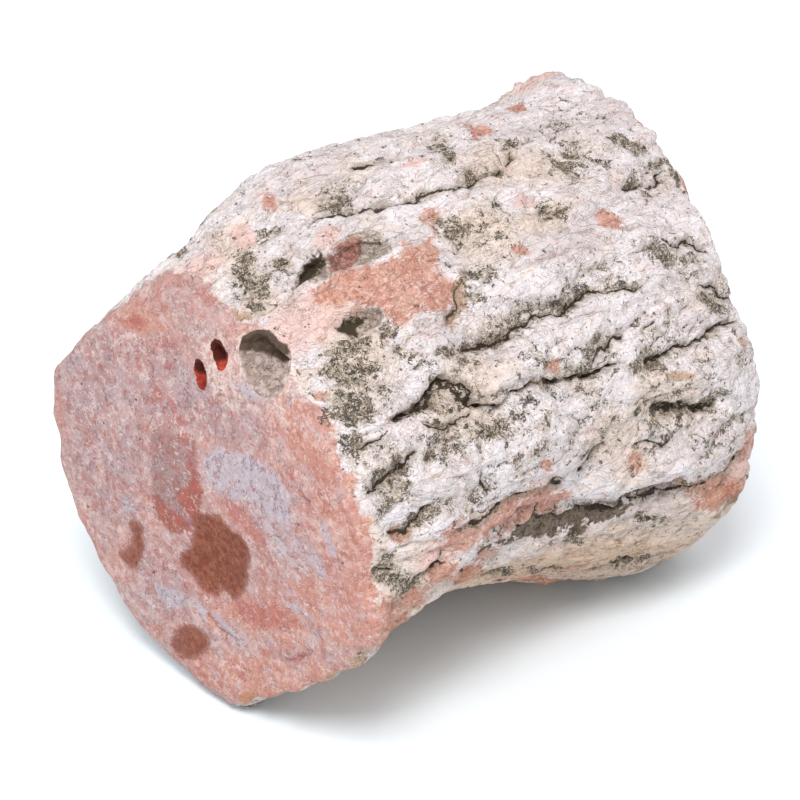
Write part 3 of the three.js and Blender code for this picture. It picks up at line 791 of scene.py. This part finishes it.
class Shader:
    """Short names for the nodes that the stone's material is built of."""

    def __init__(self, name):
        self.material = bpy.data.materials.new(name)
        self.material.use_nodes = True
        self.tree = self.material.node_tree
        self.surface = self.tree.nodes["Principled BSDF"]
        self.place = self.node("TexCoord").outputs["Object"]

    def put(self, socket, value):
        if isinstance(value, bpy.types.NodeSocket):
            self.tree.links.new(value, socket)
        else:
            socket.default_value = value

    def node(self, kind, **inputs):
        """A new node of that kind, with its named inputs linked or set."""
        node = self.tree.nodes.new("ShaderNode" + kind)
        for name, value in inputs.items():
            self.put(node.inputs[name], value)
        return node

    def math(self, operation, a, b=0.0):
        node = self.node("Math")
        node.operation = operation
        self.put(node.inputs[0], a)
        self.put(node.inputs[1], b)
        return node.outputs[0]

    def both(self, *factors):
        """The product of some masks."""
        total = factors[0]
        for factor in factors[1:]:
            total = self.math("MULTIPLY", total, factor)
        return total

    def either(self, a, b):
        return self.math("MAXIMUM", a, b)

    def step(self, value, low, high, to=(0.0, 1.0)):
        node = self.node("MapRange")
        node.interpolation_type = "SMOOTHSTEP"
        for socket, v in zip(node.inputs, (value, low, high, *to)):
            self.put(socket, v)
        return node.outputs[0]

    def mix(self, factor, a, b, blend="MIX"):
        node = self.node("Mix", Factor=factor)
        node.data_type = "RGBA"
        node.blend_type = blend
        self.put(node.inputs[6], a)
        self.put(node.inputs[7], b)
        return node.outputs[2]

    def darken(self, factor, colour, by):
        return self.mix(factor, colour, self.mix(1.0, colour, by, "MULTIPLY"))

    def along(self, stretch, seed):
        """The place, squeezed along the log so that what is drawn on it is stretched."""
        squeeze, shift = (1, 1 / stretch, 1), (seed, seed / 2, 0)
        return self.node("Mapping", Vector=self.place, Scale=squeeze, Location=shift).outputs[0]

    def noise(self, size, detail=3.0, roughness=0.55, distortion=0.0, stretch=1.0, seed=0.0):
        place = self.along(stretch, seed)
        node = self.node("TexNoise", Vector=place, Scale=1 / (size * MM), Detail=detail,
                         Roughness=roughness, Distortion=distortion)
        return node.outputs["Fac"]

    def hairs(self, size, width, stretch=1.0, distortion=1.2, seed=0.0):
        """1 on curly lines of about that width and spacing: where a twisted noise is halfway."""
        field = self.noise(size, 2.0, 0.5, distortion, stretch, seed)
        away = self.math("ABSOLUTE", self.math("SUBTRACT", field, 0.5))
        return self.step(away, 0.12 * width / size, 0.3 * width / size, (1.0, 0.0))

    def dots(self, size, low, high):
        node = self.node("TexVoronoi", Vector=self.place, Scale=1 / (size * MM))
        return self.step(node.outputs["Distance"], low, high, (1.0, 0.0))

    def value(self, name):
        node = self.node("Attribute")
        node.attribute_name = name
        return node.outputs["Fac"]

    def values(self, name):
        node = self.node("Attribute")
        node.attribute_name = name
        split = self.node("SeparateColor", Color=node.outputs["Color"])
        return (*split.outputs, node.outputs["Alpha"])

    def edged(self, mask, ragged, low=0.42, high=0.58, amount=1.0):
        """A soft mask, cut off along a ragged edge."""
        rough = self.both(self.math("SUBTRACT", ragged, 0.5), amount)
        return self.step(self.math("ADD", mask, rough), low, high)

    def stain(self, colour, tint, mask, ragged, low, high, amount=1.0, strength=1.0):
        """A colour with a tint over it where a mask is, up to a ragged edge."""
        return self.mix(self.both(self.edged(mask, ragged, low, high, amount), strength), colour, tint)

    def tinge(self, colour, tint, field, low, high, strength=1.0):
        """A colour with a tint over it where a noise goes from low to high."""
        return self.mix(self.step(field, low, high, (0.0, strength)), colour, tint)


def bark_ground(s, patchy, fine):
    """Chalky white stone, greyer, warmer or rosier in parts."""
    tint = s.noise(5, 4, 0.62, 0.6, stretch=1.5, seed=0.3)
    broad = s.noise(9, 3, 0.6, 0.4, stretch=1.6)
    colour = s.tinge(BARK_WHITE, BARK_GREY, broad, 0.38, 0.62)
    colour = s.tinge(colour, BARK_WARM, tint, 0.52, 0.66, 0.5)
    colour = s.tinge(colour, BARK_ROSY, tint, 0.46, 0.34, 0.45)
    colour = s.tinge(colour, BARK_DULL, patchy, 0.54, 0.68, 0.5)
    return s.tinge(colour, BARK_CHALK, fine, 0.54, 0.7, 0.5)


def add_stains(s, colour, patchy, fine):
    salmon, blush, ochre, cream = s.values("stains")
    ragged = s.noise(1.5, 5, 0.7, 1.0, stretch=1.3)
    colour = s.stain(colour, BARK_CREAM, cream, patchy, 0.2, 0.9, strength=0.65)
    colour = s.stain(colour, BARK_BLUSH, blush, ragged, 0.25, 0.9, strength=0.7)
    flesh = s.tinge(SALMON_DEEP, SALMON_PALE, patchy, 0.4, 0.6)
    flesh = s.tinge(flesh, SALMON_CHALK, fine, 0.52, 0.66, 0.7)
    colour = s.stain(colour, flesh, salmon, ragged, 0.3, 0.8, 2.4, 0.85)
    return s.stain(colour, BARK_OCHRE, ochre, ragged, 0.34, 0.8, 2.0, 0.75)


def add_grain(s, colour, hollow):
    """Wrinkles along the grain, painted shade with dirt in hollows, the belly's strata and its painted
    shade.
    """
    wrinkles = s.either(s.hairs(2.6, 0.18, stretch=2.8), s.hairs(1.5, 0.14, stretch=1.8, seed=0.6))
    wrinkles = s.both(wrinkles, s.step(s.noise(2.6, 2), 0.48, 0.6), 0.7)
    colour = s.darken(wrinkles, colour, WRINKLE_SHADE)
    # Hollows darkened: painted shade, with dirt.
    colour = s.darken(s.step(hollow, 0.2, 1.7, (0.0, 0.6)), colour, HOLLOW_SHADE)
    belly = s.value("belly")
    strata = s.hairs(3.0, 0.5, stretch=5.0, distortion=1.4, seed=1.1)
    strata = s.both(strata, s.step(s.noise(5, 2), 0.46, 0.58), belly, 0.6)
    colour = s.mix(strata, colour, STRATA_BROWN)
    # Underside darkened and tinted tan: painted shade of the belly.
    return s.darken(belly, colour, BELLY_SHADE)


def bark_colour(s, hollow):
    patchy = s.noise(2.2, 4, 0.62, 0.8, stretch=1.3)
    fine = s.noise(0.8, 3, 0.6, 0.8)
    colour = add_stains(s, bark_ground(s, patchy, fine), patchy, fine)
    return add_grain(s, colour, hollow)


def lichen_growth(s, hollow):
    """How dense the lichen is: in its patches, thinly beside them, and in hollows."""
    grown, _, _, boss = s.values("growth")
    everywhere = s.step(s.noise(7, 4, 0.65, 0.5, stretch=2.0), 0.48, 0.72, (0.0, 0.4))
    grown = s.either(grown, s.both(everywhere, s.step(boss, 0.2, 0.6, (1.0, 0.0))))
    thick = s.step(s.noise(3.4, 3, 0.6, 0.8, stretch=1.4, seed=0.5), 0.34, 0.6, (0.45, 1.2))
    grown = s.both(grown, thick)
    grown = s.math("ADD", grown, s.step(hollow, 0.3, 1.4, (0.0, 0.35)))
    ragged = s.noise(1.5, 5, 0.7, 0.8, stretch=1.3)
    grown = s.math("ADD", grown, s.both(s.math("SUBTRACT", ragged, 0.5), 1.2))
    return s.math("SUBTRACT", grown, s.both(boss, 0.9))


def add_lichen(s, colour, hollow):
    """Grey-olive crust with dark curly strokes, densest in the middle of each patch."""
    grown = lichen_growth(s, hollow)
    crust = s.tinge(LICHEN_GREY, LICHEN_PALE, s.noise(1.2, 4, 0.66, 1.6), 0.36, 0.64)
    olive = s.both(s.step(s.noise(2.4, 3, 0.6, 0.8, seed=0.1), 0.48, 0.66), s.step(grown, 0.5, 1.2), 0.8)
    crust = s.mix(olive, crust, LICHEN_OLIVE)
    colour = s.tinge(colour, crust, grown, 0.15, 1.0, 0.85)
    long, short = s.hairs(2.1, 0.38, distortion=1.8), s.hairs(1.2, 0.26, distortion=1.5, seed=0.2)
    gate = s.math("ADD", s.noise(2.2, 3, 0.6, 0.5, seed=0.4), s.step(grown, 0.0, 1.1, (0.0, 0.27)))
    strokes = s.both(s.either(long, short), s.step(gate, 0.64, 0.7))
    blots = s.math("ADD", s.noise(0.9, 3, 0.6, 1.6, seed=0.6), s.step(grown, 0.4, 1.3, (0.0, 0.12)))
    strokes = s.either(strokes, s.step(blots, 0.74, 0.78))
    ink = s.tinge(INK_DARK, INK_BROWN, s.noise(2.0, 2), 0.4, 0.6)
    return s.mix(s.both(strokes, 0.88), colour, ink)


def add_dirt_and_painted_shade(s, colour, hollow):
    """Pepper specks, and painted shade with dirt in the recess under the ledges, in the cracks and in
    hollows.
    """
    _, dark, recess, _ = s.values("growth")
    ragged = s.noise(1.2, 4, 0.65, 0.5, stretch=1.5)
    specks = s.both(s.dots(1.5, 0.1, 0.2), s.step(s.noise(4, 3), 0.46, 0.58), 0.75)
    colour = s.mix(specks, colour, PEPPER)
    # The recess under the ledges is painted dark: painted shade, with dirt.
    brown = s.tinge(RECESS_DARK, RECESS_PALE, s.noise(0.9, 3, 0.6, 1.0), 0.4, 0.58)
    colour = s.stain(colour, brown, recess, ragged, 0.34, 0.54, 2.6, 0.92)
    signed = s.math("ADD", s.value("crack_side"), s.both(s.math("SUBTRACT", ragged, 0.5), 3.0))
    away = s.math("ABSOLUTE", signed)
    halo = s.both(s.step(away, 0.5, 2.4, (0.4, 0.0)), s.step(dark, 0.1, 0.8))
    colour = s.mix(halo, colour, CRACK_RIM)
    # A dark line in each crack and under each lip: painted shade with dirt in the cracks, painted shadow
    # under the ledges.
    line = s.both(s.step(away, 0.28, 0.52, (1.0, 0.0)), s.step(dark, 0.2, 0.6))
    colour = s.mix(s.both(line, 0.94), colour, CRACK_SHADE_AND_DIRT)
    # Deep hollows darkened: painted shade, with dirt.
    return s.tinge(colour, HOLLOW_SHADE_AND_DIRT, hollow, 1.5, 3.4, 0.7)


def break_ground(s, middle, patchy, lavender, salmon):
    """The pink stone of a break, with its broad patches and its mottling."""
    colour = s.tinge(BREAK_PINK, BREAK_DULL, s.noise(8, 3, 0.6, 0.4), 0.4, 0.6)
    colour = s.stain(colour, BREAK_LAVENDER, lavender, middle, 0.2, 0.8, 1.4, 0.85)
    colour = s.stain(colour, BREAK_SALMON, salmon, middle, 0.25, 0.75, 1.6, 0.8)
    mottle = s.noise(6, 4, 0.62, 1.2, seed=0.6)
    colour = s.tinge(colour, MOTTLE_DEEP, mottle, 0.52, 0.62, 0.4)
    colour = s.tinge(colour, MOTTLE_PALE, mottle, 0.47, 0.38, 0.4)
    colour = s.tinge(colour, BREAK_ROSE, middle, 0.52, 0.64, 0.5)
    colour = s.tinge(colour, BREAK_COOL, middle, 0.46, 0.35, 0.5)
    colour = s.tinge(colour, FLECK_PALE, patchy, 0.52, 0.62, 0.45)
    return s.tinge(colour, FLECK_DEEP, patchy, 0.46, 0.34, 0.45)


def add_veins(s, colour, middle, mauve, cool):
    """Fine dark veins, densest where the break is cool, and pale threads."""
    long, short = s.hairs(2.2, 0.28, distortion=1.8), s.hairs(1.2, 0.2, distortion=1.5, seed=0.5)
    gate = s.math("ADD", s.noise(1.6, 2, 0.5, seed=0.7), s.both(mauve, 0.06))
    density = s.step(cool, 0.2, 0.9, (0.5, 0.65))
    veins = s.both(s.either(long, short), s.step(gate, 0.49, 0.57), density)
    colour = s.mix(veins, colour, s.tinge(VEIN_COOL, VEIN_RED, middle, 0.44, 0.54))
    threads = s.both(s.hairs(1.8, 0.26, seed=0.9), s.step(s.noise(1.5, 2, 0.5, seed=0.8), 0.5, 0.6))
    return s.mix(s.both(threads, 0.45), colour, THREAD_WHITE)


def add_brown(s, colour, brown, flecks, small):
    stone = s.tinge(BROWN_DEEP, BROWN_PALE, s.noise(1.2, 4, 0.6, 0.6), 0.36, 0.64)
    stone = s.tinge(stone, BROWN_FLECK, small, 0.56, 0.68, 0.5)
    solid = s.both(s.edged(brown, flecks, 0.3, 0.6, 1.8), s.step(brown, 0.45, 1.0, (0.75, 1.0)))
    return s.mix(solid, colour, stone)


def break_colour(s):
    brown, heart, mauve, red = s.values("deep")
    white, lavender, salmon, ochre = s.values("pale")
    middle = s.noise(3.6, 4, 0.64, 0.8, seed=0.1)
    patchy = s.noise(1.7, 5, 0.68, 1.0)
    small = s.noise(0.9, 3, 0.6, 1.4, seed=0.3)
    flecks = s.both(s.math("ADD", patchy, small), 0.5)
    colour = break_ground(s, middle, patchy, lavender, salmon)
    crust = s.tinge(RIM_PINK, RIM_PALE, patchy, 0.42, 0.58)
    colour = s.stain(colour, crust, s.value("knot_rim"), flecks, 0.3, 0.9, 2.0, 0.85)
    colour = s.stain(colour, BREAK_WHITE, white, flecks, 0.3, 0.9, 3.6, 0.8)
    colour = s.stain(colour, BREAK_MAUVE, mauve, flecks, 0.34, 0.66, 2.2, 0.65)
    colour = s.stain(colour, HEART_RED, heart, flecks, 0.34, 0.7, 2.0, 0.85)
    colour = s.stain(colour, STREAK_RED, red, flecks, 0.36, 0.95, 4.5, 0.6)
    colour = s.stain(colour, BREAK_OCHRE, ochre, patchy, 0.35, 0.75, 1.6, 0.75)
    colour = add_veins(s, colour, middle, mauve, s.either(lavender, s.either(white, mauve)))
    colour = add_brown(s, colour, brown, flecks, small)
    specks = s.both(s.dots(2.9, 0.06, 0.11), s.step(s.noise(5, 2), 0.52, 0.58))
    return s.mix(specks, colour, BREAK_SPECK)


def add_holes(s, colour):
    """The insides of the sockets and of the two hollows in the bark, with painted shade deep in them."""
    hole, room, red_room, red_slot = s.values("holes")
    _, _, knot, shade = s.values("form")
    ragged = s.noise(1.3, 4, 0.65, 0.5)
    grey = s.tinge(ROOM_GREY, ROOM_PALE, s.noise(1.0, 4, 0.65, 1.0), 0.42, 0.6)
    colour = s.stain(colour, grey, room, ragged, 0.42, 0.6, strength=0.85)
    rust = s.tinge(RUST_DEEP, RUST_PALE, ragged, 0.42, 0.6)
    colour = s.stain(colour, rust, red_room, ragged, 0.4, 0.6, strength=0.8)
    # The two holes in the bark painted dark: painted shade.
    colour = s.mix(s.edged(hole, ragged, 0.4, 0.7, 1.6), colour, HOLE_PAINTED_SHADE)
    wall = s.tinge(KNOT_GREY, KNOT_PALE, ragged, 0.36, 0.62)
    scratches = s.both(s.hairs(1.3, 0.24), s.step(s.noise(1.5, 2), 0.46, 0.54), 0.7)
    wall = s.mix(scratches, wall, KNOT_SCRATCH)
    # The upper, deeper inside of the knot painted dark: painted shade.
    wall = s.stain(wall, KNOT_PAINTED_SHADE, shade, ragged, 0.2, 0.8, strength=0.92)
    colour = s.mix(s.edged(knot, ragged, 0.4, 0.62, 0.6), colour, wall)
    blood = s.tinge(SLOT_RED, SLOT_BRIGHT, ragged, 0.4, 0.6)
    # The upper inside of the red slots painted dark: painted shade.
    blood = s.stain(blood, SLOT_PAINTED_SHADE, shade, ragged, 0.3, 0.8, 1.6, 0.92)
    return s.mix(s.edged(red_slot, ragged, 0.46, 0.6, 0.5), colour, blood)


def add_bump(s, on_break, grit):
    """Grooves and grit that are too fine for the mesh."""
    grown = s.values("growth")[0]
    grooves = s.either(s.hairs(1.7, 0.6), s.hairs(1.1, 0.5, seed=0.2))
    grooves = s.both(grooves, s.step(grown, 0.1, 0.8, (0.14, 0.8)))
    grooves = s.either(grooves, s.both(s.hairs(2.6, 0.4, stretch=2.8), 0.5))
    height = s.math("SUBTRACT", s.noise(1.8, 5, 0.62, 0.5), grooves)
    height = s.math("ADD", height, s.both(grit, 0.15))
    strength = s.step(on_break, 0.0, 1.0, (1.0, 0.5))
    bump = s.node("Bump", Distance=0.5 * MM, Strength=strength, Height=height)
    s.put(s.surface.inputs["Normal"], bump.outputs[0])


def stone_material():
    s = Shader("petrified_wood")
    hollow = s.value("hollow")
    pink, far, _, _ = s.values("form")
    grit = s.noise(0.5, 3, 0.6)
    bark = add_dirt_and_painted_shade(s, add_lichen(s, bark_colour(s, hollow), hollow), hollow)
    on_break = s.edged(s.either(pink, far), s.noise(2.2, 5, 0.66, 0.6), 0.4, 0.62, 1.0)
    colour = add_holes(s, s.mix(on_break, bark, break_colour(s)))
    colour = s.darken(s.step(grit, 0.62, 0.35), colour, GRIT_SHADE)
    s.put(s.surface.inputs["Base Color"], colour)
    s.put(s.surface.inputs["Roughness"], s.step(grit, 0.2, 0.8, (0.78, 0.94)))
    s.put(s.surface.inputs["Specular IOR Level"], 0.25)
    add_bump(s, on_break, grit)
    return s.material


# ---------------- floor, light and camera


def build_floor():
    bpy.ops.mesh.primitive_plane_add(size=FLOOR_SIDE * MM, location=(0, 0, 0))
    floor = bpy.context.object
    floor.name = "floor"
    material = bpy.data.materials.new("pale_floor")
    material.use_nodes = True
    shader = material.node_tree.nodes["Principled BSDF"]
    shader.inputs["Base Color"].default_value = FLOOR_COLOUR
    shader.inputs["Roughness"].default_value = 0.9
    shader.inputs["Specular IOR Level"].default_value = 0.0
    floor.data.materials.append(material)


def point(obj, aim, azimuth, elevation, distance):
    """Puts a light or camera at a distance from its aim, and turns it there."""
    a, e = math.radians(azimuth), math.radians(elevation)
    back = Vector((math.sin(a) * math.cos(e), -math.cos(a) * math.cos(e), math.sin(e)))
    obj.location = (Vector(aim) + back * distance) * MM
    obj.rotation_euler = back.to_track_quat("Z", "Y").to_euler()


def build_light():
    world = bpy.data.worlds.new("studio")
    bpy.context.scene.world = world
    world.use_nodes = True
    background = world.node_tree.nodes["Background"]
    background.inputs["Color"].default_value = (1, 1, 1, 1)
    background.inputs["Strength"].default_value = SKY_STRENGTH
    light = bpy.data.lights.new("key", "AREA")
    light.size = LIGHT_SIZE * MM
    light.energy = LIGHT_POWER
    point(add_object("key", light), LIGHT_AIM, *LIGHT_DIRECTION, LIGHT_DISTANCE)
    bpy.context.scene.view_settings.view_transform = "Standard"


def build_camera():
    camera = add_object("camera", bpy.data.cameras.new("camera"))
    camera.data.lens = CAMERA_LENS
    camera.data.clip_start = 10 * MM
    point(camera, CAMERA_AIM, *PHOTO_DIRECTION, CAMERA_DISTANCE)
    bpy.context.scene.camera = camera


def build_stone():
    stone = dense_copy(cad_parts["petrified_log"])
    soften(stone.data)
    lie = Lie(get_points(stone.data), get_normals(stone.data))
    mark_bark(stone.data, lie)
    mark_breaks(stone.data, lie)
    carve(stone.data, lie)
    note_hollows(stone.data)
    thin_out(stone)
    stone.data.materials.clear()
    stone.data.materials.append(stone_material())
    stone.data.shade_smooth()
    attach(stone, "root")
    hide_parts("petrified_log")


build_camera()
build_light()
build_floor()
build_stone()
